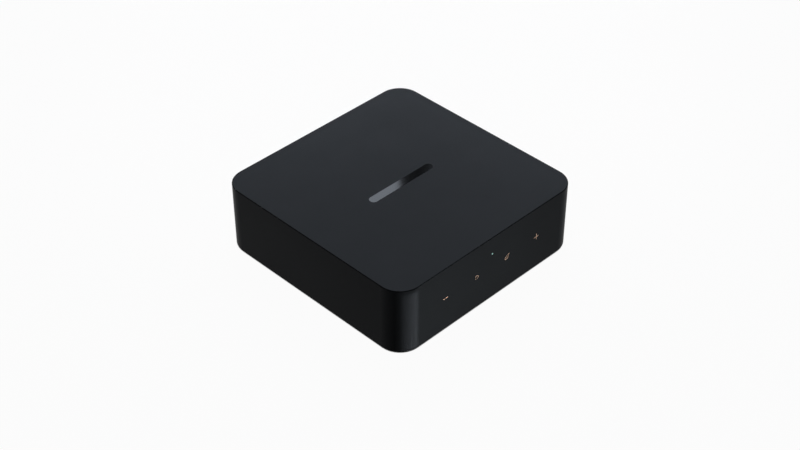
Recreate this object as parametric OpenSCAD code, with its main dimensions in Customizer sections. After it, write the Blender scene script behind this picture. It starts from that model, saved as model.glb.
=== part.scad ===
// Network music streamer: a square black case that stands on one rubber foot, with touch keys on
// its front, and its sockets, two sprung optical shutters and a reset button on its back.
// Millimetres. The origin is under the middle of the foot, +Z is up and the front faces -Y.

/* [Case] */
// Width of the case, left to right
body_w = 140; // [136:1:180]
// Depth of the case, front to back
body_d = 140; // [138:1:180]
// Height of the case, without its foot
body_h = 42; // [41:0.5:60]
// Radius of the upright corners
corner_r = 13.5; // [10:0.5:16]
// Radius rolled over the top edge
edge_r = 0.5; // [0.3:0.1:1.5]
// Radius rolled under the bottom edge of the walls
lip_r = 0.4; // [0.2:0.1:1]
// Thickness of the side walls
wall_t = 2.4; // [2:0.1:3]
// Thickness of the top
top_t = 2.6; // [2:0.1:4]
// Thickness of the base cover
base_t = 3; // [2.6:0.1:4]
// Gap between two mouldings that slip together
fit_gap = 0.2; // [0.1:0.05:0.4]

/* [Foot] */
// How far the foot stands out below the case
foot_proud = 0.8; // [0.4:0.1:3]
// Depth of the recess that holds the foot
foot_seat = 0.8; // [0.4:0.1:1]
// Distance from the side of the case to the foot
foot_inset = 10; // [8:0.5:12]
// Corner radius of the foot
foot_r = 14; // [10:0.5:20]

/* [Case screws] */
// Distance from the side of the case to a case screw
screw_inset = 14.5; // [14:0.1:15]
// Distance between the front and rear screws
screw_pitch = 80; // [70:1:84]
// Radius of a case screw's shank
screw_r = 1.4; // [1.2:0.1:1.6]
// Radius of a screw head, on the case and on the board
head_r = 2.6; // [2.2:0.1:3]
// Height of a screw head
head_h = 1.6; // [1.2:0.1:1.7]
// Length of a case screw under its head
screw_len = 9; // [8:0.5:16]
// Radius of the bosses in the housing
boss_r = 3.6; // [3:0.1:4]
// Height of the pads on the base cover that meet the bosses
pad_h = 2.2; // [1.5:0.1:3]
// Thickness of the ribs and rails inside the case
rib_t = 1.6; // [1.2:0.1:2]
// Gap round a screw in its hole
thread_gap = 0.05; // [0.02:0.01:0.1]

/* [Front controls] */
// Distance from one touch key to the next
key_pitch = 24; // [20:0.5:26]
// Height of the keys above the case's underside
key_z = 21; // [19:0.5:24]
// Height of the status light above the case's underside
light_z = 30.7; // [29:0.1:32]
// Radius of the light pipe where it shows
light_r = 0.45; // [0.4:0.05:1]
// Width of the touch board
touch_w = 100; // [96:1:108]
// Height of the touch board
touch_h = 24; // [23:0.5:26]
// Thickness of the touch board
touch_t = 1.2; // [1:0.1:1.6]
// Thickness of the adhesive film between touch board and wall
film_t = 0.4; // [0.3:0.05:0.6]
// Radius of a touch electrode
pad_r = 5; // [4:0.5:7]

/* [Rear panel] */
// Width of the window for the panel
panel_w = 108; // [107:0.5:112]
// Distance from the top of the case down to the window
panel_drop = 6.3; // [5:0.1:6.6]
// Corner radius of the window
window_r = 3; // [2:0.5:5]
// How far the panel's face lies behind the back of the case
panel_recess = 0.6; // [0.2:0.1:1]
// How far the panel's flange reaches behind the wall
flange = 2; // [1:0.1:3]
// Thickness of the flange
flange_t = 1.2; // [1:0.1:2]

/* [Main board] */
// Width of the main board
board_w = 107; // [105:1:110]
// Depth of the main board
board_d = 94; // [88:1:100]
// Thickness of the main board
board_t = 1.6; // [1.2:0.1:2]
// Height of the standoffs under the board
standoff_h = 4.4; // [4:0.1:5]
// Radius of the standoffs
standoff_r = 3.2; // [2.8:0.1:3.5]
// Distance between the left and right board screws
board_screw_w = 94; // [92:0.5:95]
// Distance between the front and rear board screws
board_screw_d = 51; // [45:1:53]
// Thickness of the steel ballast plate
ballast_t = 2; // [1:0.1:2.5]
// Width of the ballast plate
ballast_w = 84; // [60:1:86]
// Depth of the ballast plate
ballast_d = 88; // [60:1:100]
// Side of the radio module
module_w = 30; // [26:1:34]
// Height of the heat sink's fins
fin_h = 6; // [3:0.5:12]

/* [Phono sockets] */
// Outer radius of a socket's barrel
jack_r = 4.15; // [4:0.05:4.3]
// Radius of the hole for a plug's pin
pin_r = 1.65; // [1.5:0.05:1.8]
// How far a barrel stands out of the panel
jack_reach = 6.5; // [5:0.5:9]
// Distance between two line sockets side by side
line_pitch = 14; // [13:0.25:14.5]
// Place of the four line sockets, left to right
line_x = 38.2; // [38:0.1:38.4]
// Place of the digital phono socket
coax_x = 17.5; // [17.4:0.1:17.8]
// Height of the lower phono sockets above the board
jack_z = 6.6; // [6.3:0.1:7]
// Distance from the top of the case down to the upper line sockets
jack_drop = 12.4; // [12:0.1:13]

/* [Optical sockets] */
// Place of the optical output
optical_out_x = 5.5; // [5.2:0.1:6]
// Place of the optical input
optical_in_x = -5.7; // [-6:0.1:-5.4]
// Outer width of an optical socket
optical_w = 10; // [9.6:0.1:10.4]
// Outer height of an optical socket
optical_h = 10.4; // [10:0.1:11.5]
// Thickness of an optical socket's walls
optical_wall = 0.8; // [0.7:0.05:1]
// Thickness of a shutter
shutter_t = 1; // [0.8:0.1:1.2]
// Gap round a shutter
shutter_gap = 0.2; // [0.15:0.05:0.3]
// Radius of a shutter's hinge pins
trunnion_r = 0.35; // [0.3:0.05:0.38]
// Gap round the hinge pins and the reset button
running_gap = 0.05; // [0.03:0.01:0.1]

/* [Other sockets] */
// Place of the trigger socket
trigger_x = -15.6; // [-15.8:0.1:-15.3]
// Radius of the trigger socket's bore
trigger_r = 1.8; // [1.7:0.05:1.9]
// Place of the reset button
reset_x = -22.9; // [-23.1:0.1:-22.7]
// Radius of the reset button
reset_r = 1; // [0.8:0.1:1.2]
// How far the reset button lies behind the panel's face
reset_sunk = 0.4; // [0.2:0.1:0.8]
// Place of the network socket
lan_x = -34.3; // [-34.6:0.1:-34.1]
// Outer width of the network socket
lan_w = 16; // [15.6:0.1:16.4]
// Outer height of the network socket
lan_h = 13.4; // [13:0.1:14]
// Place of the power socket
power_x = -47.8; // [-48:0.1:-47.6]
// Outer width of the power socket
power_w = 8.94; // [8.8:0.02:9.1]
// Outer height of the power socket
power_h = 3.26; // [3.2:0.02:3.4]

/* [Hidden] */
$fn = 48;
// Overlap that joins two shapes of one piece, and that carries a cut past a face
bite = 0.5;
// Heights from the surface that the foot stands on
z_case = foot_proud;
z_top = z_case + body_h;
z_ceiling = z_top - top_t;
z_recess = z_case + foot_seat;
z_base = z_case + base_t;
z_pad = z_base + pad_h;
z_board = z_base + standoff_h;
z_deck = z_board + board_t;
z_keys = z_case + key_z;
z_light = z_case + light_z;
z_window = z_top - panel_drop;
// Places along the depth
y_front_in = -(body_d / 2 - wall_t);
y_touch = y_front_in + film_t;
y_touch_back = y_touch + touch_t;
y_rear_in = body_d / 2 - wall_t;
y_panel = body_d / 2 - panel_recess;
y_sockets = y_rear_in - flange_t;
panel_t = y_panel - y_sockets;
board_gap = 0.8;
y_board_back = y_sockets - board_gap;
y_board_front = y_board_back - board_d;
// Case screws, under the foot
screw_x = body_w / 2 - screw_inset;
case_screws_at = [for (x = [-1, 1], y = [-1, 1]) [x * screw_x, y * screw_pitch / 2]];
head_sink = head_h + fit_gap;
z_head = z_recess + head_sink;
pilot_spare = 2;
pilot_depth = screw_len - (z_pad - z_head) + pilot_spare;
boss_rim = 1;
rib_lift = 4.4;
// Board screws
board_screw_r = 1.1;
board_screw_len = 5;
board_screw_in = 7;
y_board_screws = y_board_front + board_screw_in;
board_screws_at = [
    for (x = [-1, 1], y = [0, 1]) [x * board_screw_w / 2, y_board_screws + y * board_screw_d]
];
// Ballast plate and the pegs that hold it
peg_r = 1.5;
peg_h = 0.8;
peg_pitch = 60;
ballast_r = 4;
ballast_in = 57.6;
ballast_y = y_board_back - ballast_in;
pegs_at = [for (side = [-1, 1]) [0, ballast_y + side * peg_pitch / 2]];
// Touch board
touch_lift = 2;
touch_low = z_keys - touch_h / 2 + touch_lift;
rail_lip = 1.4;
prop_w = 3;
prop_x = 30;
keys_at = [for (i = [-1.5, -0.5, 0.5, 1.5]) i * key_pitch];
light_collar = 0.6;
light_collar_r = light_r + light_collar;
light_pocket_r = light_collar_r + fit_gap;
light_pocket = 0.9;
light_collar_t = 0.3;
led_w = 1.6;
led_h = 0.8;
led_gap = 0.1;
// Ribbon cable
ribbon_w = 9;
ribbon_t = 0.3;
ribbon_bend = 5;
ribbon_socket_w = 12;
ribbon_socket_t = 2;
ribbon_socket_d = 5;
z_ribbon = z_deck + ribbon_socket_t / 2;
y_ribbon = y_touch_back + ribbon_socket_t / 2;
ribbon_rise = 5;
z_ribbon_socket = touch_low + ribbon_rise;
// Radio module
module_in = 62.6;
module_y = y_board_back - module_in;
module_t = 1;
shield_h = 2.4;
shield_t = 0.4;
shield_r = 1;
shield_rim = 2.5;
shield_w = module_w - 2 * shield_rim;
thermal_rim = 2.5;
thermal_w = shield_w - 2 * thermal_rim;
thermal_t = 1;
sink_w = shield_w;
sink_t = 2;
fin_t = 1.2;
fin_count = 6;
z_module = z_deck + module_t;
z_shield = z_module + shield_h;
z_thermal = z_shield + thermal_t;
// Aerials on the side walls, and their leads
aerial_d = 34;
aerial_h = 9;
aerial_t = 0.4;
aerial_ahead = 17;
aerial_y = module_y - aerial_ahead;
aerial_drop = 8;
z_aerial = z_ceiling - aerial_drop;
lead_r = 0.6;
lead_sides = 8;
lead_rise = 4;
lead_in = 3;
lead_tail = 6;
lead_lap = 2;
lead_bend = 4;
lead_slope = 5;
lead_end = 1;
// Phono sockets
jack_shoulder = 0.45;
jack_root_r = jack_r + jack_shoulder;
jack_wall = 0.75;
insert_r = jack_r - jack_wall;
jack_mouth = panel_t + jack_reach;
jack_step_out = 0.2;
jack_step = panel_t + jack_step_out;
jack_root = 6.5;
jack_chamfer = 0.3;
insert_sunk = 0.5;
pin_depth = 7;
contact_rim = 0.4;
contact_r = pin_r + contact_rim;
contact_t = 0.8;
contact_room = 2.5;
block_d = 9;
block_margin = 6.7;
block_rim = 0.4;
block_skin = 1;
coax_block_w = 12.4;
hole_gap = 0.25;
upper_jack_z = z_top - jack_drop - z_deck;
line_at = [for (x = [-1, 1], z = [jack_z, upper_jack_z]) [line_x + x * line_pitch / 2, z]];
// Optical sockets
optical_back = 14;
optical_cavity = 10;
optical_proud = 0.2;
optical_front = panel_t + optical_proud;
optical_sill = 0.1;
optical_floor = optical_wall + optical_sill;
optical_ceiling = optical_h - optical_wall;
optical_half = optical_w / 2 - optical_wall;
optical_chamfer = 1.4;
hinge_y = optical_front - shutter_gap - shutter_t / 2;
hinge_z = optical_ceiling - shutter_gap - shutter_t / 2;
trunnion_skin = 0.3;
trunnion_len = optical_wall - trunnion_skin;
lens_r = 1.2;
lens_proud = 0.4;
lens_back = 1;
lens_seat = optical_back - lens_back;
// Trigger socket
trigger_w = 8;
trigger_d = 12;
trigger_z = 3.5;
trigger_collar_r = 3;
trigger_proud = 0.3;
trigger_depth = 12;
trigger_room_r = trigger_r + contact_rim;
trigger_room = 2;
// Reset button and its switch
reset_z = 2;
switch_w = 5;
switch_d = 3.6;
switch_h = 4;
switch_gap = 2;
button_root = 1;
// Network socket
lan_d = 21;
lan_sheet = 0.5;
lan_cavity_w = 11.8;
lan_cavity_h = 7;
lan_cavity_d = 13;
lan_floor = 3.4;
lan_key_w = 6.2;
lan_key_h = 1.6;
lan_light_w = 2.6;
lan_light_h = 1.8;
lan_light_d = 3;
lan_light_side = 0.6;
lan_light_x = lan_w / 2 - lan_sheet - lan_light_w / 2 - lan_light_side;
lan_light_z = 1.6;
lan_contacts = 8;
lan_contact_pitch = 1.02;
lan_contact_t = 0.45;
lan_contact_len = 7;
lan_contact_tilt = 14;
lan_contact_in = 2;
// Power socket
power_sheet = 0.3;
power_d = 5;
power_r = 1.25;
power_lift = 0.1;
power_sunk = 0.2;
power_tongue_w = 6.7;
power_tongue_t = 0.7;
power_tongue_in = 1;
power_back_t = 1.5;
power_z = power_h / 2 + power_lift;

// Colours
case_black = "#1c1d1f";
socket_black = "#141415";
rubber_black = "#18181a";
board_green = "#1d4a33";
steel = "#b9bcc0";
nickel = "#c9c7c1";
copper = "#c98a52";
plain_white = "#e8e6e0";
signal_red = "#b3231f";
amber = "#c8742a";

// Shapes that repeat

// Flat outline of a rectangle with round corners
module round_rect(w, d, r) {
    square([w - 2 * r, d], center = true);
    square([w, d - 2 * r], center = true);
    for (x = [-1, 1], y = [-1, 1])
        translate([x * (w / 2 - r), y * (d / 2 - r)])
            circle(r);
}

// What rounding to a radius takes off a square corner
module corner_cut(r) {
    difference() {
        square(2 * r);
        circle(r);
    }
}

// Upright section from the middle of a block out to its side, with rolled top and bottom edges
module edge_profile(reach, h, top_r, bottom_r) {
    difference() {
        square([reach, h]);
        translate([reach - top_r, h - top_r])
            corner_cut(top_r);
        translate([reach - bottom_r, bottom_r])
            rotate(-90)
                corner_cut(bottom_r);
    }
}

// Block with round upright corners and rolled top and bottom edges, standing on z = 0
module rolled_block(w, d, h, r, top_r, bottom_r) {
    for (turn = [0, 180]) {
        rotate(turn)
            rotate([90, 0, 90])
                linear_extrude(w - 2 * r, center = true)
                    edge_profile(d / 2, h, top_r, bottom_r);
        rotate(turn)
            translate([w / 2 - r, 0, 0])
                rotate([90, 0, 0])
                    linear_extrude(d - 2 * r, center = true)
                        edge_profile(r, h, top_r, bottom_r);
    }
    for (i = [0:3])
        translate([(i % 3 == 0 ? 1 : -1) * (w / 2 - r), (i < 2 ? 1 : -1) * (d / 2 - r), 0])
            rotate(90 * i)
                rotate_extrude(angle = 90)
                    edge_profile(r, h, top_r, bottom_r);
}

// Outline of the case, drawn in by a distance
module case_outline(inset) {
    round_rect(body_w - 2 * inset, body_d - 2 * inset, corner_r - inset);
}

// Outline of the foot, made wider by a gap
module foot_outline(gap) {
    round_rect(
        body_w - 2 * foot_inset + 2 * gap,
        body_d - 2 * foot_inset + 2 * gap,
        foot_r + gap
    );
}

// Box between two corners
module box(low, high) {
    translate(low)
        cube(high - low);
}

// Turns what is drawn upwards so that it points out of the back
module outwards() {
    rotate([-90, 0, 0])
        children();
}

// Puts a socket at its place: +Y out of the panel, z = 0 on the board, y = 0 behind the panel
module at_socket(x) {
    translate([x, y_sockets, z_deck])
        children();
}

// Screw that points up, with the underside of its head at z = 0
module screw(r, length) {
    translate([0, 0, -head_h])
        cylinder(r = head_r, h = head_h);
    translate([0, 0, -bite])
        cylinder(r = r, h = length + bite);
}

// Three points of a bend that cuts off the corner b between a and c
bend_pull = 0.29;
function unit(v) = v / norm(v);
function bend(a, b, c, reach) =
    let (back = unit(a - b), ahead = unit(c - b))
    [b + reach * back, b + bend_pull * reach * (back + ahead), b + reach * ahead];

// Tube of a round lead along a list of points, its sides carried round the bends untwisted
steep = 0.9;
function heading(path, i) =
    unit(path[min(i + 1, len(path) - 1)] - path[max(i - 1, 0)]);
function across(path, i) =
    let (
        ahead = heading(path, i),
        before = i > 0 ? across(path, i - 1) : abs(ahead.z) > steep ? [1, 0, 0] : [0, 0, 1]
    )
    unit(before - (before * ahead) * ahead);
function ring(path, i, r, sides) =
    let (
        side = across(path, i),
        over = cross(side, heading(path, i))
    )
    [for (k = [0:sides - 1])
        path[i] + r * (cos(360 * k / sides) * side + sin(360 * k / sides) * over)];
module lead(path, r, sides) {
    last = len(path) - 1;
    skin = [
        for (i = [0:last - 1], k = [0:sides - 1])
            let (n = (k + 1) % sides)
            each [
                [i * sides + k, (i + 1) * sides + k, (i + 1) * sides + n],
                [i * sides + k, (i + 1) * sides + n, i * sides + n]
            ]
    ];
    ends = [
        [for (k = [0:sides - 1]) k],
        [for (k = [sides - 1:-1:0]) last * sides + k]
    ];
    polyhedron(
        points = [for (i = [0:last]) each ring(path, i, r, sides)],
        faces = concat(skin, ends)
    );
}

// Case

// One moulding: top and four walls, with the bosses, ribs and rails inside
module housing() {
    color(case_black)
        difference() {
            union() {
                difference() {
                    translate([0, 0, z_case])
                        rolled_block(body_w, body_d, body_h, corner_r, edge_r, lip_r);
                    translate([0, 0, z_case - bite])
                        linear_extrude(body_h - top_t + bite)
                            case_outline(wall_t);
                }
                for (at = case_screws_at)
                    housing_boss(at);
                for (turn = [0, 1])
                    mirror([turn, 0, 0])
                        touch_rail();
            }
            for (at = case_screws_at)
                translate([at.x, at.y, z_pad - bite])
                    cylinder(r = screw_r + thread_gap, h = pilot_depth + bite);
            translate([0, body_d / 2 + bite, 0])
                rotate([90, 0, 0])
                    linear_extrude(wall_t + 2 * bite)
                        window_outline(0, z_case - bite);
            light_bore();
        }
}

// Boss for a case screw, with a rib out to the side wall
module housing_boss(at) {
    translate([at.x, at.y, z_pad])
        cylinder(r = boss_r, h = z_ceiling - z_pad + bite);
    side = sign(at.x);
    rib_reach = body_w / 2 - wall_t + bite - screw_x;
    translate([at.x + side * rib_reach / 2, at.y, (z_pad + rib_lift + z_ceiling + bite) / 2])
        cube([rib_reach, rib_t, z_ceiling + bite - z_pad - rib_lift], center = true);
}

// Rail that holds one end of the touch board against the front wall
module touch_rail() {
    x = touch_w / 2 + fit_gap;
    y_lip = y_touch_back + fit_gap;
    box([x, y_front_in - bite, touch_low], [x + rib_t, y_lip + rib_t, z_ceiling + bite]);
    box([x - rail_lip, y_lip, touch_low], [x + bite, y_lip + rib_t, z_ceiling + bite]);
}

// Hole for the light pipe, with a pocket for its collar and the light behind it
module light_bore() {
    translate([0, -body_d / 2, z_light])
        outwards() {
            translate([0, 0, -bite])
                cylinder(r = light_r, h = wall_t + 2 * bite);
            translate([0, 0, wall_t - light_pocket])
                cylinder(r = light_pocket_r, h = light_pocket + bite);
        }
}

// Cover that closes the housing from below and carries the boards
module base_cover() {
    color(case_black)
        difference() {
            union() {
                translate([0, 0, z_case])
                    linear_extrude(base_t)
                        case_outline(wall_t + fit_gap);
                for (at = case_screws_at)
                    translate([at.x, at.y, z_base - bite])
                        cylinder(r = boss_r + boss_rim, h = pad_h + bite);
                for (at = board_screws_at)
                    translate([at.x, at.y, z_base - bite])
                        cylinder(r = standoff_r, h = standoff_h + bite);
                for (at = pegs_at)
                    translate([at.x, at.y, z_base - bite])
                        cylinder(r = peg_r, h = ballast_t + peg_h + bite);
                for (side = [-1, 1])
                    translate([side * prop_x - prop_w / 2, 0, 0])
                        box([0, y_touch, z_base - bite], [prop_w, y_touch_back + rib_t, touch_low]);
            }
            translate([0, 0, z_case - bite])
                linear_extrude(foot_seat + bite)
                    foot_outline(fit_gap / 2);
            for (at = case_screws_at)
                translate([at.x, at.y, z_recess - bite]) {
                    cylinder(r = head_r + fit_gap, h = head_sink + bite);
                    cylinder(r = screw_r + fit_gap, h = z_pad - z_recess + 2 * bite);
                }
            for (at = board_screws_at)
                translate([at.x, at.y, z_board - board_screw_len])
                    cylinder(r = board_screw_r + thread_gap, h = board_screw_len + bite);
        }
}

// Rubber mat that the streamer stands on, over the heads of the case screws
module rubber_foot() {
    color(rubber_black)
        linear_extrude(foot_proud + foot_seat)
            foot_outline(0);
}

module case_screws() {
    color(steel)
        for (at = case_screws_at)
            translate([at.x, at.y, z_head])
                screw(screw_r, screw_len);
}

// Rear panel

// Outline of the panel's window, made smaller by a gap, down to a height
module window_outline(gap, low) {
    w = panel_w - 2 * gap;
    top = z_window - gap;
    r = window_r - gap;
    translate([-w / 2, low])
        square([w, top - r - low]);
    translate([-w / 2 + r, low])
        square([w - 2 * r, top - low]);
    for (x = [-1, 1])
        translate([x * (w / 2 - r), top - r])
            circle(r);
}

// Keeps what lies inside the case's outline, drawn in by a distance
module within_case(inset) {
    intersection() {
        children();
        translate([0, 0, z_case])
            linear_extrude(body_h)
                case_outline(inset);
    }
}

// Panel that fills the window, with a flange behind the wall and a hole for each socket
module rear_panel() {
    color(case_black)
        difference() {
            union() {
                within_case(panel_recess)
                    translate([0, y_panel, 0])
                        rotate([90, 0, 0])
                            linear_extrude(y_panel - y_rear_in)
                                window_outline(fit_gap, z_case);
                within_case(wall_t)
                    translate([0, y_rear_in, 0])
                        rotate([90, 0, 0])
                            linear_extrude(flange_t)
                                window_outline(-flange, z_base);
            }
            for (at = line_at)
                jack_hole(at.x, at.y);
            jack_hole(coax_x, jack_z);
            for (x = [optical_out_x, optical_in_x])
                at_socket(x)
                    socket_hole(optical_w, 0, optical_h);
            at_socket(lan_x)
                socket_hole(lan_w, 0, lan_h);
            at_socket(power_x)
                power_hole();
            round_hole(trigger_x, trigger_z, trigger_collar_r + hole_gap);
            round_hole(reset_x, reset_z, reset_r + hole_gap);
        }
}

module round_hole(x, z, r) {
    at_socket(x)
        translate([0, -bite, z])
            outwards()
                cylinder(r = r, h = panel_t + 2 * bite);
}

module jack_hole(x, z) {
    round_hole(x, z, jack_root_r + hole_gap);
}

module socket_hole(w, low, high) {
    box(
        [-w / 2 - hole_gap, -bite, low - hole_gap],
        [w / 2 + hole_gap, panel_t + bite, high + hole_gap]
    );
}

module power_hole() {
    translate([0, panel_t + bite, power_z])
        rotate([90, 0, 0])
            linear_extrude(panel_t + 2 * bite)
                round_rect(power_w + 2 * hole_gap, power_h + 2 * hole_gap, power_r + hole_gap);
}

// Boards and what they carry

// Steel plate on the base cover that keeps the light case steady against its cables
module ballast_plate() {
    color(steel)
        difference() {
            translate([0, ballast_y, z_base])
                linear_extrude(ballast_t)
                    round_rect(ballast_w, ballast_d, ballast_r);
            for (at = pegs_at)
                translate([at.x, at.y, z_base - bite])
                    cylinder(r = peg_r + thread_gap, h = ballast_t + 2 * bite);
        }
}

// Main board, notched round the rear bosses
module main_board() {
    color(board_green)
        difference() {
            box([-board_w / 2, y_board_front, z_board], [board_w / 2, y_board_back, z_deck]);
            for (at = case_screws_at)
                translate([at.x, at.y, z_board - bite])
                    cylinder(r = boss_r + boss_rim, h = board_t + 2 * bite);
            for (at = board_screws_at)
                translate([at.x, at.y, z_board - bite])
                    cylinder(r = board_screw_r + fit_gap, h = board_t + 2 * bite);
        }
}

module board_screws() {
    color(steel)
        for (at = board_screws_at)
            translate([at.x, at.y, z_deck])
                rotate([180, 0, 0])
                    screw(board_screw_r, board_screw_len);
}

module radio_module() {
    color(board_green)
        translate([-module_w / 2, module_y - module_w / 2, z_deck])
            cube([module_w, module_w, module_t]);
}

// Pressed can over the module's chips
module module_shield() {
    color(nickel)
        translate([0, module_y, z_module])
            difference() {
                linear_extrude(shield_h)
                    round_rect(shield_w, shield_w, shield_r);
                translate([0, 0, -bite])
                    linear_extrude(shield_h - shield_t + bite)
                        round_rect(shield_w - 2 * shield_t, shield_w - 2 * shield_t, shield_r - shield_t);
            }
}

module thermal_pad() {
    color("#8d9aa8")
        translate([-thermal_w / 2, module_y - thermal_w / 2, z_shield])
            cube([thermal_w, thermal_w, thermal_t]);
}

module heat_sink() {
    color(steel)
        translate([0, module_y, z_thermal]) {
            translate([-sink_w / 2, -sink_w / 2, 0])
                cube([sink_w, sink_w, sink_t]);
            for (i = [0:fin_count - 1])
                translate([-sink_w / 2 + i * (sink_w - fin_t) / (fin_count - 1), -sink_w / 2, sink_t - bite])
                    cube([fin_t, sink_w, fin_h + bite]);
        }
}

// Flat aerials stuck to the left and right walls
module aerials() {
    color(amber)
        for (side = [-1, 1])
            translate([side * (body_w / 2 - wall_t - aerial_t / 2), aerial_y, z_aerial])
                cube([aerial_t, aerial_d, aerial_h], center = true);
}

// Thin coaxial leads from the aerials down to the module
module aerial_leads() {
    x_wall = body_w / 2 - wall_t - aerial_t - lead_r;
    z_run = z_deck + lead_rise;
    y_end = module_y - module_w / 2 + lead_in;
    start = [x_wall, aerial_y - lead_tail, z_aerial];
    upper = [x_wall, aerial_y + lead_lap, z_aerial];
    lower = [x_wall, aerial_y + lead_lap, z_run];
    near = [module_w / 2 + lead_slope, y_end, z_run];
    end = [module_w / 2 - lead_end, y_end, z_module + lead_r];
    route = concat(
        [start],
        bend(start, upper, lower, lead_bend),
        bend(upper, lower, near, lead_bend),
        bend(lower, near, end, lead_bend / 2),
        [end]
    );
    color(socket_black)
        for (side = [0, 1])
            mirror([side, 0, 0])
                lead(route, lead_r, lead_sides);
}

// Puts a part on the main board, at a distance in from its back edge
module on_board(x, in) {
    translate([x, y_board_back - in, z_deck])
        children();
}

// Places and sizes of the flat chips: x, distance in, width, depth, height
chip_list = [
    [38, 26, 9, 9, 1.2], [38, 40, 6, 6, 1], [20, 22, 5, 6, 1.2], [-34, 32, 9, 9, 1],
    [-46, 18, 5, 5, 1.2], [4, 32, 10, 7, 1.2], [-12, 84, 7, 7, 1]
];
module chips() {
    color(socket_black)
        for (c = chip_list)
            on_board(c[0], c[1])
                translate([-c[2] / 2, -c[3] / 2, 0])
                    cube([c[2], c[3], c[4]]);
}

// Places and sizes of the electrolytic capacitors: x, distance in, radius, height
capacitor_list = [
    [47, 16, 2.5, 5.4], [47, 50, 2.5, 5.4], [41, 50, 2.5, 5.4], [29, 16, 2.5, 5.4],
    [29, 32, 2.5, 5.4], [-47, 48, 3.15, 7.7], [-39, 48, 3.15, 7.7], [-47, 58, 3.15, 7.7]
];
can_rim = 0.1;
can_base_h = 0.8;
module capacitors() {
    color(steel)
        for (c = capacitor_list)
            on_board(c[0], c[1]) {
                translate([-c[2], -c[2], 0])
                    cube([2 * c[2], 2 * c[2], can_base_h]);
                cylinder(r = c[2] - can_rim, h = c[3]);
            }
}

// Places and sides of the power inductors: x, distance in, side
inductor_list = [[-30, 46, 6], [-30, 58, 6], [-46, 70, 5]];
inductor_h = 3;
inductor_r = 1.2;
module inductors() {
    color("#4b4c50")
        for (c = inductor_list)
            on_board(c[0], c[1])
                linear_extrude(inductor_h)
                    round_rect(c[2], c[2], inductor_r);
}

// Places of the audio clocks: x, distance in
oscillator_list = [[28, 42], [28, 48]];
oscillator_size = [5, 3.2, 1.3];
oscillator_r = 0.5;
module oscillators() {
    color(nickel)
        for (at = oscillator_list)
            on_board(at.x, at.y)
                linear_extrude(oscillator_size.z)
                    round_rect(oscillator_size.x, oscillator_size.y, oscillator_r);
}

// Front controls

module touch_board() {
    color(board_green)
        box([-touch_w / 2, y_touch, touch_low], [touch_w / 2, y_touch_back, touch_low + touch_h]);
}

// Film that bonds the touch board to the wall, open round the electrodes and the light
module touch_film() {
    color("#d9d4c4")
        difference() {
            box(
                [-touch_w / 2 + rail_lip, y_front_in, touch_low + rail_lip],
                [touch_w / 2 - rail_lip, y_touch, touch_low + touch_h - rail_lip]
            );
            for (x = keys_at)
                translate([x, y_front_in - bite, z_keys])
                    outwards()
                        cylinder(r = pad_r + fit_gap, h = film_t + 2 * bite);
            translate([0, y_front_in - bite, z_light])
                outwards()
                    cylinder(r = light_pocket_r, h = film_t + 2 * bite);
        }
}

// Copper electrodes behind the four keys
module touch_pads() {
    color(copper)
        for (x = keys_at)
            translate([x, y_touch - film_t / 2, z_keys])
                outwards()
                    cylinder(r = pad_r, h = film_t / 2);
}

module status_led() {
    led_t = film_t + light_pocket - light_collar_t - led_gap;
    color(plain_white)
        translate([-led_w / 2, y_touch - led_t, z_light - led_h / 2])
            cube([led_w, led_t, led_h]);
}

// Clear pipe that carries the status light through the front wall
module light_pipe() {
    color("#7fd8c4")
        translate([0, -body_d / 2, z_light])
            outwards() {
                cylinder(r = light_r, h = wall_t - light_pocket + light_collar_t);
                translate([0, 0, wall_t - light_pocket])
                    cylinder(r = light_collar_r, h = light_collar_t);
            }
}

// Flat cable from the touch board, down and back to the main board
module ribbon_cable() {
    y_turn = y_ribbon + ribbon_bend;
    z_turn = z_ribbon + ribbon_bend;
    color(plain_white) {
        translate([-ribbon_w / 2, y_ribbon - ribbon_t / 2, z_turn])
            cube([ribbon_w, ribbon_t, z_ribbon_socket - z_turn]);
        translate([-ribbon_w / 2, y_turn, z_ribbon - ribbon_t / 2])
            cube([ribbon_w, y_board_front - y_turn, ribbon_t]);
        translate([ribbon_w / 2, y_turn, z_turn])
            rotate([0, -90, 0])
                rotate(180)
                    rotate_extrude(angle = 90)
                        translate([ribbon_bend - ribbon_t / 2, 0])
                            square([ribbon_t, ribbon_w]);
    }
}

// The cable's two connectors
module ribbon_sockets() {
    half = ribbon_socket_w / 2;
    color(plain_white) {
        box(
            [-half, y_touch_back, z_ribbon_socket],
            [half, y_touch_back + ribbon_socket_t, z_ribbon_socket + ribbon_socket_d]
        );
        box([-half, y_board_front, z_deck], [half, y_board_front + ribbon_socket_d, z_deck + ribbon_socket_t]);
    }
}

// Phono sockets

// Metal barrel, wider at its root where it passes through the panel into its block
module barrel() {
    outwards()
        rotate_extrude()
            polygon([
                [insert_r, -jack_root], [jack_root_r, -jack_root], [jack_root_r, jack_step],
                [jack_r, jack_step], [jack_r, jack_mouth - jack_chamfer],
                [jack_r - jack_chamfer, jack_mouth], [insert_r, jack_mouth]
            ]);
}

// Insulator in a barrel, with the hole for a plug's pin and a wider room for the contact behind it
module insert() {
    face = jack_mouth - insert_sunk;
    outwards()
        rotate_extrude()
            polygon([
                [0, -jack_root], [insert_r, -jack_root], [insert_r, face],
                [pin_r + jack_chamfer, face], [pin_r, face - jack_chamfer],
                [pin_r, face - pin_depth], [contact_r, face - pin_depth],
                [contact_r, face - pin_depth - contact_room], [0, face - pin_depth - contact_room]
            ]);
}

// Sprung contact at the bottom of the pin's hole
module pin_contact() {
    translate([0, jack_mouth - insert_sunk - pin_depth - contact_room, 0])
        outwards()
            cylinder(r = contact_r - thread_gap, h = contact_t);
}

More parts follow.
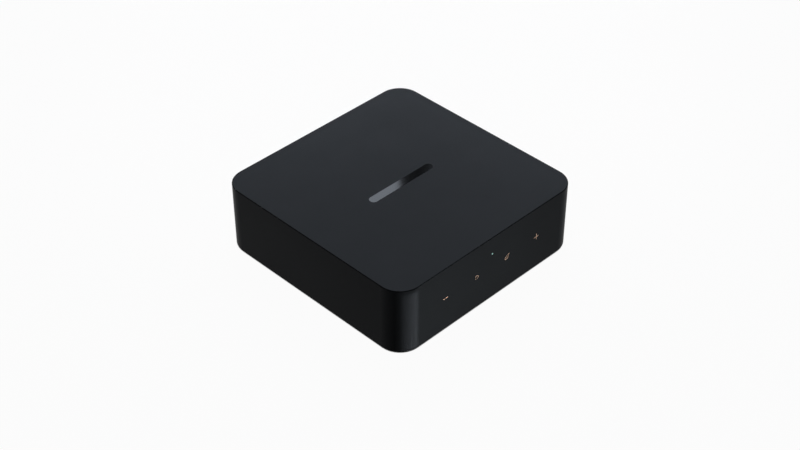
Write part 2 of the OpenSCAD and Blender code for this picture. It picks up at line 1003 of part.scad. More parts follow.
// Moulded block that holds a group of barrels and stands on the board
module jack_block(w, h, holes) {
    difference() {
        box([-w / 2, -block_d, 0], [w / 2, 0, h]);
        box([-w / 2 + block_rim, -block_d - bite, -bite], [w / 2 - block_rim, -jack_root - block_skin, block_rim]);
        for (at = holes)
            translate([at.x, -jack_root, at.y])
                outwards()
                    cylinder(r = jack_root_r, h = jack_root + bite);
    }
}

module line_jack_block() {
    holes = [for (at = line_at) [at.x - line_x, at.y]];
    color(socket_black)
        at_socket(line_x)
            jack_block(line_pitch + 2 * block_margin, upper_jack_z + block_margin, holes);
}

module line_jack_barrels() {
    color(nickel)
        for (at = line_at)
            at_socket(at.x)
                translate([0, 0, at.y])
                    barrel();
}

// The upper sockets are the left channel, and the lower ones the right
module line_inserts(upper) {
    for (at = line_at)
        if ((at.y > jack_z) == upper)
            at_socket(at.x)
                translate([0, 0, at.y])
                    insert();
}

module line_jack_white_inserts() {
    color(plain_white)
        line_inserts(true);
}

module line_jack_red_inserts() {
    color(signal_red)
        line_inserts(false);
}

module line_jack_contacts() {
    color(copper)
        for (at = line_at)
            at_socket(at.x)
                translate([0, 0, at.y])
                    pin_contact();
}

module coax_jack_block() {
    color(socket_black)
        at_socket(coax_x)
            jack_block(coax_block_w, jack_z + block_margin, [[0, jack_z]]);
}

module coax_jack_barrel() {
    color(nickel)
        at_socket(coax_x)
            translate([0, 0, jack_z])
                barrel();
}

module coax_jack_insert() {
    color(amber)
        at_socket(coax_x)
            translate([0, 0, jack_z])
                insert();
}

module coax_jack_contact() {
    color(copper)
        at_socket(coax_x)
            translate([0, 0, jack_z])
                pin_contact();
}

// Optical sockets

// Outline of the way in, with its two lower corners cut off, drawn in by a gap
module optical_outline(gap, top) {
    half = optical_half - gap;
    low = optical_floor + gap;
    polygon([
        [-half, top], [half, top], [half, low + optical_chamfer],
        [half - optical_chamfer, low], [-half + optical_chamfer, low], [-half, low + optical_chamfer]
    ]);
}

// Socket body with its cavity, the holes for the shutter's pins and the seat of the lens
module optical_socket() {
    difference() {
        box([-optical_w / 2, -optical_back, 0], [optical_w / 2, optical_front, optical_h]);
        translate([0, optical_front + bite, 0])
            rotate([90, 0, 0])
                linear_extrude(optical_front + optical_cavity + bite)
                    optical_outline(0, optical_ceiling);
        translate([-optical_half - trunnion_len - running_gap, hinge_y, hinge_z])
            rotate([0, 90, 0])
                cylinder(r = trunnion_r + running_gap, h = 2 * (optical_half + trunnion_len + running_gap));
        translate([0, -lens_seat, optical_h / 2])
            outwards()
                cylinder(r = lens_r, h = lens_seat);
    }
}

// Shutter that hangs from two pins at the top of the way in, and swings inwards
module optical_shutter() {
    translate([0, hinge_y + shutter_t / 2, 0])
        rotate([90, 0, 0])
            linear_extrude(shutter_t)
                optical_outline(shutter_gap, hinge_z);
    translate([-optical_half + shutter_gap, hinge_y, hinge_z])
        rotate([0, 90, 0])
            cylinder(r = shutter_t / 2, h = 2 * (optical_half - shutter_gap));
    translate([-optical_half - trunnion_len, hinge_y, hinge_z])
        rotate([0, 90, 0])
            cylinder(r = trunnion_r, h = 2 * (optical_half + trunnion_len));
}

// Lens of the light source or sensor at the back of the cavity
module optical_lens() {
    translate([0, -lens_seat, optical_h / 2])
        outwards()
            cylinder(r = lens_r, h = lens_seat - optical_cavity + lens_proud);
}

module optical_out_socket() {
    color(socket_black)
        at_socket(optical_out_x)
            optical_socket();
}

module optical_out_shutter() {
    color(socket_black)
        at_socket(optical_out_x)
            optical_shutter();
}

module optical_out_emitter() {
    color(signal_red)
        at_socket(optical_out_x)
            optical_lens();
}

module optical_in_socket() {
    color(socket_black)
        at_socket(optical_in_x)
            optical_socket();
}

module optical_in_shutter() {
    color(socket_black)
        at_socket(optical_in_x)
            optical_shutter();
}

module optical_in_receiver() {
    color(plain_white)
        at_socket(optical_in_x)
            optical_lens();
}

// Other sockets

// Jack socket for a trigger cable
module trigger_jack() {
    mouth = panel_t + trigger_proud;
    color(socket_black)
        at_socket(trigger_x)
            difference() {
                union() {
                    box([-trigger_w / 2, -trigger_d, 0], [trigger_w / 2, 0, 2 * trigger_z]);
                    translate([0, -bite, trigger_z])
                        outwards()
                            cylinder(r = trigger_collar_r, h = mouth + bite);
                }
                translate([0, mouth - trigger_depth - bite, trigger_z])
                    outwards()
                        cylinder(r = trigger_r, h = trigger_depth + 2 * bite);
                translate([0, mouth - trigger_depth - trigger_room, trigger_z])
                    outwards()
                        cylinder(r = trigger_room_r, h = trigger_room);
            }
}

// Tip contact at the bottom of the trigger socket's bore
module trigger_contact() {
    color(nickel)
        at_socket(trigger_x)
            translate([0, panel_t + trigger_proud - trigger_depth - trigger_room, trigger_z])
                outwards()
                    cylinder(r = trigger_room_r - thread_gap, h = contact_t);
}

// Outline of the network socket's way in, with the step for a plug's latch, made wider by a gap
module lan_outline(gap) {
    translate([0, lan_floor + lan_cavity_h / 2])
        square([lan_cavity_w + 2 * gap, lan_cavity_h + 2 * gap], center = true);
    translate([0, lan_floor])
        square([lan_key_w + 2 * gap, 2 * lan_key_h + 2 * gap], center = true);
}

// Indicator windows under the way in, made wider by a gap
module lan_windows(gap) {
    for (side = [-1, 1])
        translate([side * lan_light_x, lan_light_z])
            square([lan_light_w + 2 * gap, lan_light_h + 2 * gap], center = true);
}

// Screening can, open underneath and round the way in
module lan_shield() {
    color(nickel)
        at_socket(lan_x)
            difference() {
                box([-lan_w / 2, -lan_d, 0], [lan_w / 2, panel_t, lan_h]);
                box(
                    [-lan_w / 2 + lan_sheet, -lan_d + lan_sheet, -bite],
                    [lan_w / 2 - lan_sheet, panel_t - lan_sheet, lan_h - lan_sheet]
                );
                translate([0, panel_t + bite, 0])
                    rotate([90, 0, 0])
                        linear_extrude(lan_sheet + 2 * bite) {
                            lan_outline(fit_gap);
                            lan_windows(fit_gap);
                        }
            }
}

// Moulding inside the can, with the cavity for the plug
module lan_insert() {
    half = lan_w / 2 - lan_sheet;
    face = panel_t - lan_sheet;
    color(socket_black)
        at_socket(lan_x)
            difference() {
                box([-half, -lan_d + lan_sheet, 0], [half, face, lan_h - lan_sheet]);
                translate([0, face + bite, 0])
                    rotate([90, 0, 0])
                        linear_extrude(lan_cavity_d + bite)
                            lan_outline(0);
                translate([0, face + bite, 0])
                    rotate([90, 0, 0])
                        linear_extrude(lan_light_d + bite)
                            lan_windows(0);
            }
}

// Light guides of the two indicators
module lan_lights() {
    color(amber)
        at_socket(lan_x)
            translate([0, panel_t, 0])
                rotate([90, 0, 0])
                    linear_extrude(lan_sheet + lan_light_d)
                        lan_windows(0);
}

// Sprung contacts that slope down from the ceiling of the cavity
module lan_contact_row() {
    ceiling = lan_floor + lan_cavity_h;
    color(copper)
        at_socket(lan_x)
            for (i = [0:lan_contacts - 1])
                translate([(i - (lan_contacts - 1) / 2) * lan_contact_pitch, panel_t - lan_contact_in, ceiling])
                    rotate([lan_contact_tilt, 0, 0])
                        translate([-lan_contact_t / 2, -lan_contact_len, -lan_contact_t])
                            cube([lan_contact_t, lan_contact_len, lan_contact_t]);
}

// Metal shell of the power socket
module power_socket_shell() {
    color(nickel)
        at_socket(power_x)
            translate([0, panel_t - power_sunk, power_z])
                rotate([90, 0, 0])
                    linear_extrude(panel_t - power_sunk + power_d)
                        difference() {
                            round_rect(power_w, power_h, power_r);
                            round_rect(power_w - 2 * power_sheet, power_h - 2 * power_sheet, power_r - power_sheet);
                        }
}

// Contact tongue of the power socket, on the plug that closes the shell's back
module power_socket_tongue() {
    color(socket_black)
        at_socket(power_x)
            translate([0, -power_d, power_z]) {
                rotate([-90, 0, 0])
                    linear_extrude(power_back_t)
                        round_rect(power_w - 2 * power_sheet, power_h - 2 * power_sheet, power_r - power_sheet);
                translate([-power_tongue_w / 2, 0, -power_tongue_t / 2])
                    cube([power_tongue_w, power_d + panel_t - power_sunk - power_tongue_in, power_tongue_t]);
            }
}

// Body of the reset switch, with the hole that the button slides in
module reset_switch() {
    color(socket_black)
        at_socket(reset_x)
            difference() {
                box([-switch_w / 2, -switch_gap - switch_d, 0], [switch_w / 2, -switch_gap, switch_h]);
                translate([0, -switch_gap - 2 * button_root, reset_z])
                    outwards()
                        cylinder(r = reset_r + running_gap, h = 2 * button_root + bite);
            }
}

// Button that slides in the switch, reached through a hole in the panel
module reset_button() {
    color(case_black)
        at_socket(reset_x)
            translate([0, -switch_gap - button_root, reset_z])
                outwards()
                    cylinder(r = reset_r, h = button_root + switch_gap + panel_t - reset_sunk);
}

housing();
base_cover();
rubber_foot();
case_screws();
rear_panel();
ballast_plate();
main_board();
board_screws();
radio_module();
module_shield();
thermal_pad();
heat_sink();
aerials();
aerial_leads();
chips();
capacitors();
inductors();
oscillators();
touch_board();
touch_film();
touch_pads();
status_led();
light_pipe();
ribbon_cable();
ribbon_sockets();
line_jack_block();
line_jack_barrels();
line_jack_white_inserts();
line_jack_red_inserts();
line_jack_contacts();
coax_jack_block();
coax_jack_barrel();
coax_jack_insert();
coax_jack_contact();
optical_out_socket();
optical_out_shutter();
optical_out_emitter();
optical_in_socket();
optical_in_shutter();
optical_in_receiver();
trigger_jack();
trigger_contact();
lan_shield();
lan_insert();
lan_contact_row();
lan_lights();
power_socket_shell();
power_socket_tongue();
reset_switch();
reset_button();
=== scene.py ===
import math
import bpy
import bmesh
from mathutils import Matrix, Vector


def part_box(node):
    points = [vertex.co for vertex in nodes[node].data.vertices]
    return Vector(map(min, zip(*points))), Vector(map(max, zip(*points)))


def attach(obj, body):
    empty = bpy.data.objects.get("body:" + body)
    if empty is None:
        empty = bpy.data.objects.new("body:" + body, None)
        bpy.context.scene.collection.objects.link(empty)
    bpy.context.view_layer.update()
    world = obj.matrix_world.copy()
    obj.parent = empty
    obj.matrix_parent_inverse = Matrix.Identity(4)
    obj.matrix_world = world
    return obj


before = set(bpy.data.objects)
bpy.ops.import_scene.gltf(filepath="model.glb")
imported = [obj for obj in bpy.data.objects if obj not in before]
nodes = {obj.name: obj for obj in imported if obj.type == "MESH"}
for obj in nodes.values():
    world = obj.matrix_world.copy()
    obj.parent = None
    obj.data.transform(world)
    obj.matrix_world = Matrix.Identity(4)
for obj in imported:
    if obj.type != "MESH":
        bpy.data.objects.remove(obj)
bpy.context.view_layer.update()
scene = bpy.context.scene
mm = 0.001
print("stage: frame loaded,", len(nodes), "nodes")


# stage: camera, floor, lamps and world

cameraView = {
    "turn": -135.0,        # degrees round the object, from +X
    "climb": 38.64,        # degrees above the floor
    "distance": 0.8833,
    "aim": (0.0, 0.0, 0.01162),
    "lens": 70.0,
    "sensor": 36.0,
    "nearClip": 0.01,
}


def pointAt(obj, target):
    away = Vector(target) - obj.location
    obj.rotation_euler = away.to_track_quat("-Z", "Y").to_euler()


def onDome(turn, climb, distance, centre):
    a, e = math.radians(turn), math.radians(climb)
    out = Vector((math.cos(a) * math.cos(e), math.sin(a) * math.cos(e), math.sin(e)))
    return Vector(centre) + out * distance


def makeCamera(view):
    data = bpy.data.cameras.new("photoCamera")
    data.lens = view["lens"]
    data.sensor_width = view["sensor"]
    data.clip_start = view["nearClip"]
    camera = bpy.data.objects.new("photoCamera", data)
    scene.collection.objects.link(camera)
    camera.location = onDome(view["turn"], view["climb"], view["distance"], view["aim"])
    pointAt(camera, view["aim"])
    scene.camera = camera


makeCamera(cameraView)

floorLook = {
    "size": 8.0,
    "height": -0.00005,    # a hair below the foot
    "tone": 0.32,          # of the lit floor, as the camera gets it
    "bounce": 0.12,        # and as it lights the object
    "shown": 0.96,         # how much of the plain white the camera gets, the rest is lit floor
    "contact": 0.004,      # reach of the shade under the case
    "dark": 0.30,          # openness at which the shade is full
    "clear": 0.46,         # and at which it ends
    "tries": 32,
}


# a number is set on the node, a socket is linked to it
def mathNode(tree, operation, *values):
    node = tree.nodes.new("ShaderNodeMath")
    node.operation = operation
    for i, value in enumerate(values):
        if isinstance(value, (int, float)):
            node.inputs[i].default_value = value
        else:
            tree.links.new(value, node.inputs[i])
    return node.outputs[0]


def makeFloor(look):
    half = look["size"] / 2
    mesh = bpy.data.meshes.new("studioFloor")
    ring = [(-half, -half), (half, -half), (half, half), (-half, half)]
    mesh.from_pydata([(x, y, look["height"]) for x, y in ring], [], [(0, 1, 2, 3)])
    floor = bpy.data.objects.new("studioFloor", mesh)
    scene.collection.objects.link(floor)
    mat = bpy.data.materials.new("studioWhite")
    mat.use_nodes = True
    tree = mat.node_tree
    tree.nodes.clear()
    rays = tree.nodes.new("ShaderNodeLightPath").outputs
    contact = tree.nodes.new("ShaderNodeAmbientOcclusion")
    contact.samples = look["tries"]
    contact.inputs["Distance"].default_value = look["contact"]
    clear = tree.nodes.new("ShaderNodeMapRange")
    clear.inputs["From Min"].default_value = look["dark"]
    clear.inputs["From Max"].default_value = look["clear"]
    lit = tree.nodes.new("ShaderNodeBsdfDiffuse")
    white = tree.nodes.new("ShaderNodeEmission")
    mixed = tree.nodes.new("ShaderNodeMixShader")
    out = tree.nodes.new("ShaderNodeOutputMaterial")
    link = tree.links.new
    link(contact.outputs["AO"], clear.inputs["Value"])
    seen = mathNode(tree, "MAXIMUM", rays["Is Camera Ray"], rays["Is Glossy Ray"])
    seen = mathNode(tree, "MAXIMUM", seen, rays["Is Transmission Ray"])
    grey = mathNode(tree, "MULTIPLY_ADD", seen, look["tone"] - look["bounce"], look["bounce"])
    link(grey, lit.inputs["Color"])
    share = mathNode(tree, "MULTIPLY", seen, look["shown"])
    link(mathNode(tree, "MULTIPLY", share, clear.outputs["Result"]), mixed.inputs["Fac"])
    link(lit.outputs[0], mixed.inputs[1])
    link(white.outputs[0], mixed.inputs[2])
    link(mixed.outputs[0], out.inputs["Surface"])
    mesh.materials.append(mat)


makeFloor(floorLook)

lampSet = {
    "overheadSoftbox": {"turn": 60, "climb": 84, "distance": 1.2, "size": (1.1, 1.1), "watts": 5.4,
                        "aim": (0.0, 0.0, 0.02), "colour": (1.0, 1.0, 1.0), "spread": 180},
    "rearLeftSoftbox": {"turn": 62, "climb": 37, "distance": 1.3, "size": (0.62, 0.70), "watts": 7.6,
                        "aim": (0.0, 0.0, 0.04), "colour": (0.80, 0.88, 1.0), "spread": 180},
    "rearRightSoftbox": {"turn": 27, "climb": 37, "distance": 1.3, "size": (0.56, 0.70), "watts": 7.8,
                         "aim": (0.0, 0.0, 0.04), "colour": (0.80, 0.88, 1.0), "spread": 180},
    # gridded boxes, whose light fades along the face that they are set for: the low ones stay under the top
    "sideSoftbox": {"turn": -55, "climb": 0, "distance": 2.0, "size": (0.80, 0.04), "watts": 0.39,
                    "aim": (-0.350, -0.245, 0.02), "colour": (0.86, 0.95, 1.0), "spread": 9},
    "leftSoftbox": {"turn": 124, "climb": 0, "distance": 2.0, "size": (0.80, 0.04), "watts": 0.127,
                    "aim": (0.184, 0.241, 0.02), "colour": (1.0, 1.0, 1.0), "spread": 9},
    "backSoftbox": {"turn": 45, "climb": 55, "distance": 1.0, "size": (0.40, 0.40), "watts": 0.34,
                    "aim": (0.212, 0.212, 0.043), "colour": (0.88, 0.93, 1.0), "spread": 9},
    # a slim strip that catches only the round of the near corner
    "cornerStrip": {"turn": -45, "climb": 0, "distance": 0.16, "size": (0.010, 0.040), "watts": 0.0023,
                    "aim": (-0.06697, -0.06697, 0.020), "colour": (0.92, 0.95, 1.0), "spread": 1},
}


def makeLamps(lamps):
    for name, box in lamps.items():
        data = bpy.data.lights.new(name, "AREA")
        data.shape = "RECTANGLE"
        data.size, data.size_y = box["size"]
        data.energy = box["watts"]
        data.color = box["colour"]
        data.spread = math.radians(box["spread"])
        lamp = bpy.data.objects.new(name, data)
        scene.collection.objects.link(lamp)
        lamp.location = onDome(box["turn"], box["climb"], box["distance"], box["aim"])
        pointAt(lamp, box["aim"])


makeLamps(lampSet)

worldLook = {"colour": (0.96, 0.98, 1.0, 1.0), "strength": 0.04}
world = bpy.data.worlds.new("studioRoom")
world.use_nodes = True
background = world.node_tree.nodes["Background"]
background.inputs["Color"].default_value = worldLook["colour"]
background.inputs["Strength"].default_value = worldLook["strength"]
scene.world = world
scene.view_settings.view_transform = "Standard"
print("stage: camera, floor and lamps set")


# shared finishes

def addSockets(tree, inOut, sockets):
    for name, kind in sockets.items():
        tree.interface.new_socket(name=name, in_out=inOut, socket_type="NodeSocket" + kind)


# fine moulded grain, with a slow change of tone over the surface
grainNoise = {"fineDetail": 3.0, "broadDetail": 2.0, "broadScale": 38.0, "middle": 0.5}


def makeGrainGroup(noise):
    tree = bpy.data.node_groups.new("mouldedGrain", "ShaderNodeTree")
    addSockets(tree, "INPUT", {"Colour": "Color", "Tone Spread": "Float", "Roughness": "Float",
                               "Rough Spread": "Float", "Grain Scale": "Float", "Stretch": "Vector"})
    addSockets(tree, "OUTPUT", {"Colour": "Color", "Roughness": "Float", "Height": "Float"})
    given = tree.nodes.new("NodeGroupInput")
    put = tree.nodes.new("NodeGroupOutput")
    coords = tree.nodes.new("ShaderNodeTexCoord")
    stretch = tree.nodes.new("ShaderNodeVectorMath")
    stretch.operation = "MULTIPLY"
    link = tree.links.new
    link(coords.outputs["Object"], stretch.inputs[0])
    link(given.outputs["Stretch"], stretch.inputs[1])
    fine = tree.nodes.new("ShaderNodeTexNoise")
    fine.inputs["Detail"].default_value = noise["fineDetail"]
    link(stretch.outputs[0], fine.inputs["Vector"])
    link(given.outputs["Grain Scale"], fine.inputs["Scale"])
    broad = tree.nodes.new("ShaderNodeTexNoise")
    broad.inputs["Scale"].default_value = noise["broadScale"]
    broad.inputs["Detail"].default_value = noise["broadDetail"]
    link(coords.outputs["Object"], broad.inputs["Vector"])
    fineOff = mathNode(tree, "SUBTRACT", fine.outputs["Fac"], noise["middle"])
    broadOff = mathNode(tree, "SUBTRACT", broad.outputs["Fac"], noise["middle"])
    both = mathNode(tree, "ADD", fineOff, broadOff)
    shift = mathNode(tree, "MULTIPLY", both, given.outputs["Tone Spread"])
    tint = tree.nodes.new("ShaderNodeVectorMath")
    tint.operation = "SCALE"
    link(given.outputs["Colour"], tint.inputs[0])
    link(mathNode(tree, "ADD", shift, 1.0), tint.inputs["Scale"])
    link(tint.outputs[0], put.inputs["Colour"])
    worn = mathNode(tree, "MULTIPLY", both, given.outputs["Rough Spread"])
    link(mathNode(tree, "ADD", worn, given.outputs["Roughness"]), put.inputs["Roughness"])
    link(fine.outputs["Fac"], put.inputs["Height"])
    return tree


grainGroup = makeGrainGroup(grainNoise)


# painted shade on the rounded edges: their colour is darkened there, and they are a little glossier than
# the matt faces
edgeShadeBand = {"offWall": 0.2, "offTop": 0.06}   # lean of the surface over which the painted edge shade and the smoothing fade out


def makeEdgeShadeGroup(band):
    tree = bpy.data.node_groups.new("edgeShadeAndGloss", "ShaderNodeTree")
    addSockets(tree, "INPUT", {"Colour": "Color", "Roughness": "Float", "Painted Edge Shade": "Float",
                               "Edge Smooth": "Float"})
    addSockets(tree, "OUTPUT", {"Colour": "Color", "Roughness": "Float"})
    given = tree.nodes.new("NodeGroupInput")
    put = tree.nodes.new("NodeGroupOutput")
    facing = tree.nodes.new("ShaderNodeNewGeometry")
    parts = tree.nodes.new("ShaderNodeSeparateXYZ")
    link = tree.links.new
    link(facing.outputs["Normal"], parts.inputs[0])
    lean = mathNode(tree, "ABSOLUTE", parts.outputs["Z"])
    fromTop = mathNode(tree, "SUBTRACT", 1.0, lean)
    offWall = mathNode(tree, "MINIMUM", mathNode(tree, "DIVIDE", lean, band["offWall"]), 1.0)
    offTop = mathNode(tree, "MINIMUM", mathNode(tree, "DIVIDE", fromTop, band["offTop"]), 1.0)
    filletMask = mathNode(tree, "MULTIPLY", offWall, offTop)
    shadeDepth = mathNode(tree, "SUBTRACT", 1.0, given.outputs["Painted Edge Shade"])
    # painted shade: the colour is darkened over the rounds by this share
    paintedShade = mathNode(tree, "MULTIPLY", filletMask, shadeDepth)
    tint = tree.nodes.new("ShaderNodeVectorMath")
    tint.operation = "SCALE"
    link(given.outputs["Colour"], tint.inputs[0])
    link(mathNode(tree, "SUBTRACT", 1.0, paintedShade), tint.inputs["Scale"])
    link(tint.outputs[0], put.inputs["Colour"])
    smooth = mathNode(tree, "MULTIPLY", filletMask, given.outputs["Edge Smooth"])
    link(mathNode(tree, "SUBTRACT", given.outputs["Roughness"], smooth), put.inputs["Roughness"])
    return tree


edgeShadeGroup = makeEdgeShadeGroup(edgeShadeBand)


def setSockets(node, values):
    for name, value in values.items():
        node.inputs[name].default_value = value


# what a finish has where it says nothing else
plainFinish = {"tone": 0.15, "roughSpread": 0.08, "grain": 2500.0, "stretch": (1.0, 1.0, 1.0),
               "bump": 0.1, "depth": 0.00005, "sockets": {}}


def grainMaterial(name, finish):
    look = {**plainFinish, **finish}
    mat = bpy.data.materials.new(name)
    mat.use_nodes = True
    tree = mat.node_tree
    shader = tree.nodes["Principled BSDF"]
    grain = tree.nodes.new("ShaderNodeGroup")
    grain.node_tree = grainGroup
    setSockets(grain, {"Colour": (*look["colour"], 1.0), "Tone Spread": look["tone"],
                       "Roughness": look["rough"], "Rough Spread": look["roughSpread"],
                       "Grain Scale": look["grain"], "Stretch": look["stretch"]})
    bump = tree.nodes.new("ShaderNodeBump")
    setSockets(bump, {"Strength": look["bump"], "Distance": look["depth"]})
    last = grain
    # a finish with an edge shade gets painted shade along its rounded edges, and a smoother roughness there
    if "paintedEdgeShade" in look:
        last = tree.nodes.new("ShaderNodeGroup")
        last.node_tree = edgeShadeGroup
        setSockets(last, {"Painted Edge Shade": look["paintedEdgeShade"], "Edge Smooth": look["edgeSmooth"]})
        tree.links.new(grain.outputs["Colour"], last.inputs["Colour"])
        tree.links.new(grain.outputs["Roughness"], last.inputs["Roughness"])
    tree.links.new(last.outputs["Colour"], shader.inputs["Base Color"])
    tree.links.new(last.outputs["Roughness"], shader.inputs["Roughness"])
    tree.links.new(grain.outputs["Height"], bump.inputs["Height"])
    tree.links.new(bump.outputs["Normal"], shader.inputs["Normal"])
    setSockets(shader, look["sockets"])
    return mat


finishes = {
    # the case gets painted shade along its rounded edges, darkening their colour
    "softBlackCase": {"colour": (0.0215, 0.0224, 0.0237), "rough": 0.35, "tone": 0.25, "bump": 0.06,
                      "paintedEdgeShade": 0.3, "edgeSmooth": 0.06,
                      "sockets": {"Specular IOR Level": 0.012, "Specular Tint": (0.82, 0.90, 1.0, 1.0)}},
    "blackBase": {"colour": (0.018, 0.0184, 0.0195), "rough": 0.55, "bump": 0.15,
                  "sockets": {"Specular IOR Level": 0.15}},
    "rearPanelBlack": {"colour": (0.018, 0.0186, 0.0197), "rough": 0.5, "bump": 0.12,
                       "sockets": {"Specular IOR Level": 0.12}},
    "rubberFoot": {"colour": (0.014, 0.014, 0.015), "rough": 0.82, "tone": 0.3, "grain": 1400.0,
                   "bump": 0.3, "sockets": {"Specular IOR Level": 0.2}},
    "socketBlack": {"colour": (0.016, 0.016, 0.0166), "rough": 0.38, "bump": 0.08,
                    "sockets": {"Specular IOR Level": 0.3}},
    "nickelPlate": {"colour": (0.70, 0.68, 0.64), "rough": 0.2, "tone": 0.05, "grain": 2600.0,
                    "bump": 0.08, "stretch": (0.08, 2.0, 0.08), "sockets": {"Metallic": 1.0}},
    "screwSteel": {"colour": (0.52, 0.52, 0.53), "rough": 0.32, "tone": 0.1,
                   "stretch": (1.0, 1.0, 8.0), "sockets": {"Metallic": 1.0}},
    "ballastSteel": {"colour": (0.50, 0.51, 0.52), "rough": 0.45, "tone": 0.25, "grain": 600.0,
                     "sockets": {"Metallic": 1.0}},
    "sinkAluminium": {"colour": (0.60, 0.61, 0.62), "rough": 0.38, "tone": 0.12,
                      "stretch": (1.0, 0.06, 1.0), "sockets": {"Metallic": 1.0}},
    "electrodeCopper": {"colour": (0.72, 0.38, 0.24), "rough": 0.35, "tone": 0.2, "grain": 900.0,
                        "sockets": {"Metallic": 1.0}},
    "contactGold": {"colour": (0.86, 0.62, 0.28), "rough": 0.24, "tone": 0.1,
                    "sockets": {"Metallic": 1.0}},
    "boardMask": {"colour": (0.012, 0.075, 0.032), "rough": 0.34, "tone": 0.5, "grain": 220.0,
                  "bump": 0.15},
    "padGrey": {"colour": (0.28, 0.33, 0.39), "rough": 0.8, "tone": 0.2, "grain": 1200.0, "bump": 0.2},
    "tapeFilm": {"colour": (0.70, 0.66, 0.55), "rough": 0.6, "tone": 0.1},
    "aerialAmber": {"colour": (0.46, 0.20, 0.045), "rough": 0.3, "tone": 0.2, "grain": 500.0,
                    "bump": 0.05},
    "leadSleeve": {"colour": (0.02, 0.02, 0.021), "rough": 0.5, "tone": 0.2},
    "chipEpoxy": {"colour": (0.016, 0.016, 0.017), "rough": 0.6, "tone": 0.3, "grain": 4000.0,
                  "bump": 0.2},
    "canAluminium": {"colour": (0.66, 0.67, 0.68), "rough": 0.28, "tone": 0.08,
                     "sockets": {"Metallic": 1.0}},
    "ferriteGrey": {"colour": (0.055, 0.056, 0.06), "rough": 0.7, "tone": 0.4, "grain": 3000.0,
                    "bump": 0.3},
    "whitePlastic": {"colour": (0.76, 0.75, 0.71), "rough": 0.4, "tone": 0.05, "bump": 0.05},
    "signalRed": {"colour": (0.40, 0.018, 0.014), "rough": 0.38, "tone": 0.1, "bump": 0.05},
    "signalOrange": {"colour": (0.56, 0.16, 0.02), "rough": 0.38, "tone": 0.1, "bump": 0.05},
    "tintAmber": {"colour": (0.55, 0.20, 0.02), "rough": 0.25, "tone": 0.15, "bump": 0.05},
    "opticBlack": {"colour": (0.01, 0.004, 0.004), "rough": 0.12, "tone": 0.2, "bump": 0.02},
    "glossBlack": {"colour": (0.002, 0.002, 0.0022), "rough": 0.06, "tone": 0.2, "roughSpread": 0.02,
                   "bump": 0.0, "sockets": {"Specular IOR Level": 0.19}},
    "copperPrint": {"colour": (0.88, 0.53, 0.35), "rough": 0.45, "tone": 0.12, "bump": 0.05,
                    "sockets": {"Specular IOR Level": 0.3}},
    "lightTeal": {"colour": (0.16, 0.30, 0.27), "rough": 0.3, "tone": 0.1, "bump": 0.02,
                  "sockets": {"Emission Color": (0.40, 0.74, 0.67, 1.0), "Emission Strength": 0.45}},
    "symbolPrint": {"colour": (0.42, 0.42, 0.41), "rough": 0.5, "tone": 0.12, "bump": 0.05,
                    "sockets": {"Specular IOR Level": 0.3}},
    "ledLens": {"colour": (0.75, 0.72, 0.58), "rough": 0.25, "tone": 0.1, "bump": 0.02},
}
materials = {name: grainMaterial(name, look) for name, look in finishes.items()}
print("stage: finishes made,", len(materials))

nodeFinish = {
    "softBlackCase": ["housing"],
    "blackBase": ["base_cover"],
    "rearPanelBlack": ["rear_panel"],
    "rubberFoot": ["rubber_foot"],
    "socketBlack": [
        "line_jack_block", "coax_jack_block", "optical_out_socket", "optical_in_socket",
        "optical_out_shutter", "optical_in_shutter", "trigger_jack", "lan_insert",
        "power_socket_tongue", "reset_switch", "reset_button",
    ],
    "nickelPlate": [
        "line_jack_barrels", "coax_jack_barrel", "lan_shield", "power_socket_shell",
        "module_shield", "oscillators",
    ],
    "screwSteel": ["case_screws", "board_screws"],
    "ballastSteel": ["ballast_plate"],
    "sinkAluminium": ["heat_sink"],
    "electrodeCopper": ["touch_pads"],
    "contactGold": ["line_jack_contacts", "coax_jack_contact", "trigger_contact", "lan_contact_row"],
    "boardMask": ["main_board", "radio_module", "touch_board"],
    "padGrey": ["thermal_pad"],
    "tapeFilm": ["touch_film"],
    "aerialAmber": ["aerials"],
    "leadSleeve": ["aerial_leads"],
    "chipEpoxy": ["chips"],
    "canAluminium": ["capacitors"],
    "ferriteGrey": ["inductors"],
    "whitePlastic": ["ribbon_cable", "ribbon_sockets", "line_jack_white_inserts"],
    "signalOrange": ["coax_jack_insert"],
    "signalRed": ["line_jack_red_inserts"],
    "tintAmber": ["lan_lights"],
    "opticBlack": ["optical_out_emitter", "optical_in_receiver"],
    "lightTeal": ["light_pipe"],
    "ledLens": ["status_led"],
}
for finish, names in nodeFinish.items():
    for name in names:
        for place in nodes[name].material_slots:
            place.material = materials[finish]
print("stage: nodes dressed,", sum(len(names) for names in nodeFinish.values()))


# pieces of the scene's own

def addPiece(name, mesh, finish, body):
    mesh.materials.clear()
    mesh.materials.append(materials[finish])
    piece = bpy.data.objects.new(name, mesh)
    scene.collection.objects.link(piece)
    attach(piece, body)
    return piece


# outlines in millimetres, and the steps that their rounds are cut into
roundSteps = {"end": 10, "drop": 26, "corner": 5, "inlay": 24, "loop": 24}


def arc(centre, radius, start, end, steps):
    turns = [math.radians(start + (end - start) * i / steps) for i in range(steps + 1)]
    return [(centre[0] + radius * math.cos(t), centre[1] + radius * math.sin(t)) for t in turns]


# a round head that narrows to a tip
def teardrop(centre, radius, tip):
    away = tip - centre
    along = math.degrees(math.atan2(away.y, away.x))
    touch = math.degrees(math.acos(radius / away.length))
    return arc(centre, radius, along + touch, along + 360 - touch, roundSteps["drop"]) + [tuple(tip)]


# a level bar with round ends
def capsule(length, width, steps):
    r = width / 2
    half = length / 2 - r
    return arc((half, 0), r, -90, 90, steps) + arc((-half, 0), r, 90, 270, steps)


# four arms with round ends
def cross(length, width, steps):
    r = width / 2
    reach = length / 2 - r
    outline = []
    for turn in (0, 90, 180, 270):
        c, s = round(math.cos(math.radians(turn))), round(math.sin(math.radians(turn)))
        outline += arc((reach * c, reach * s), r, turn - 90, turn + 90, steps)
        outline.append((r * (c - s), r * (s + c)))
    return outline


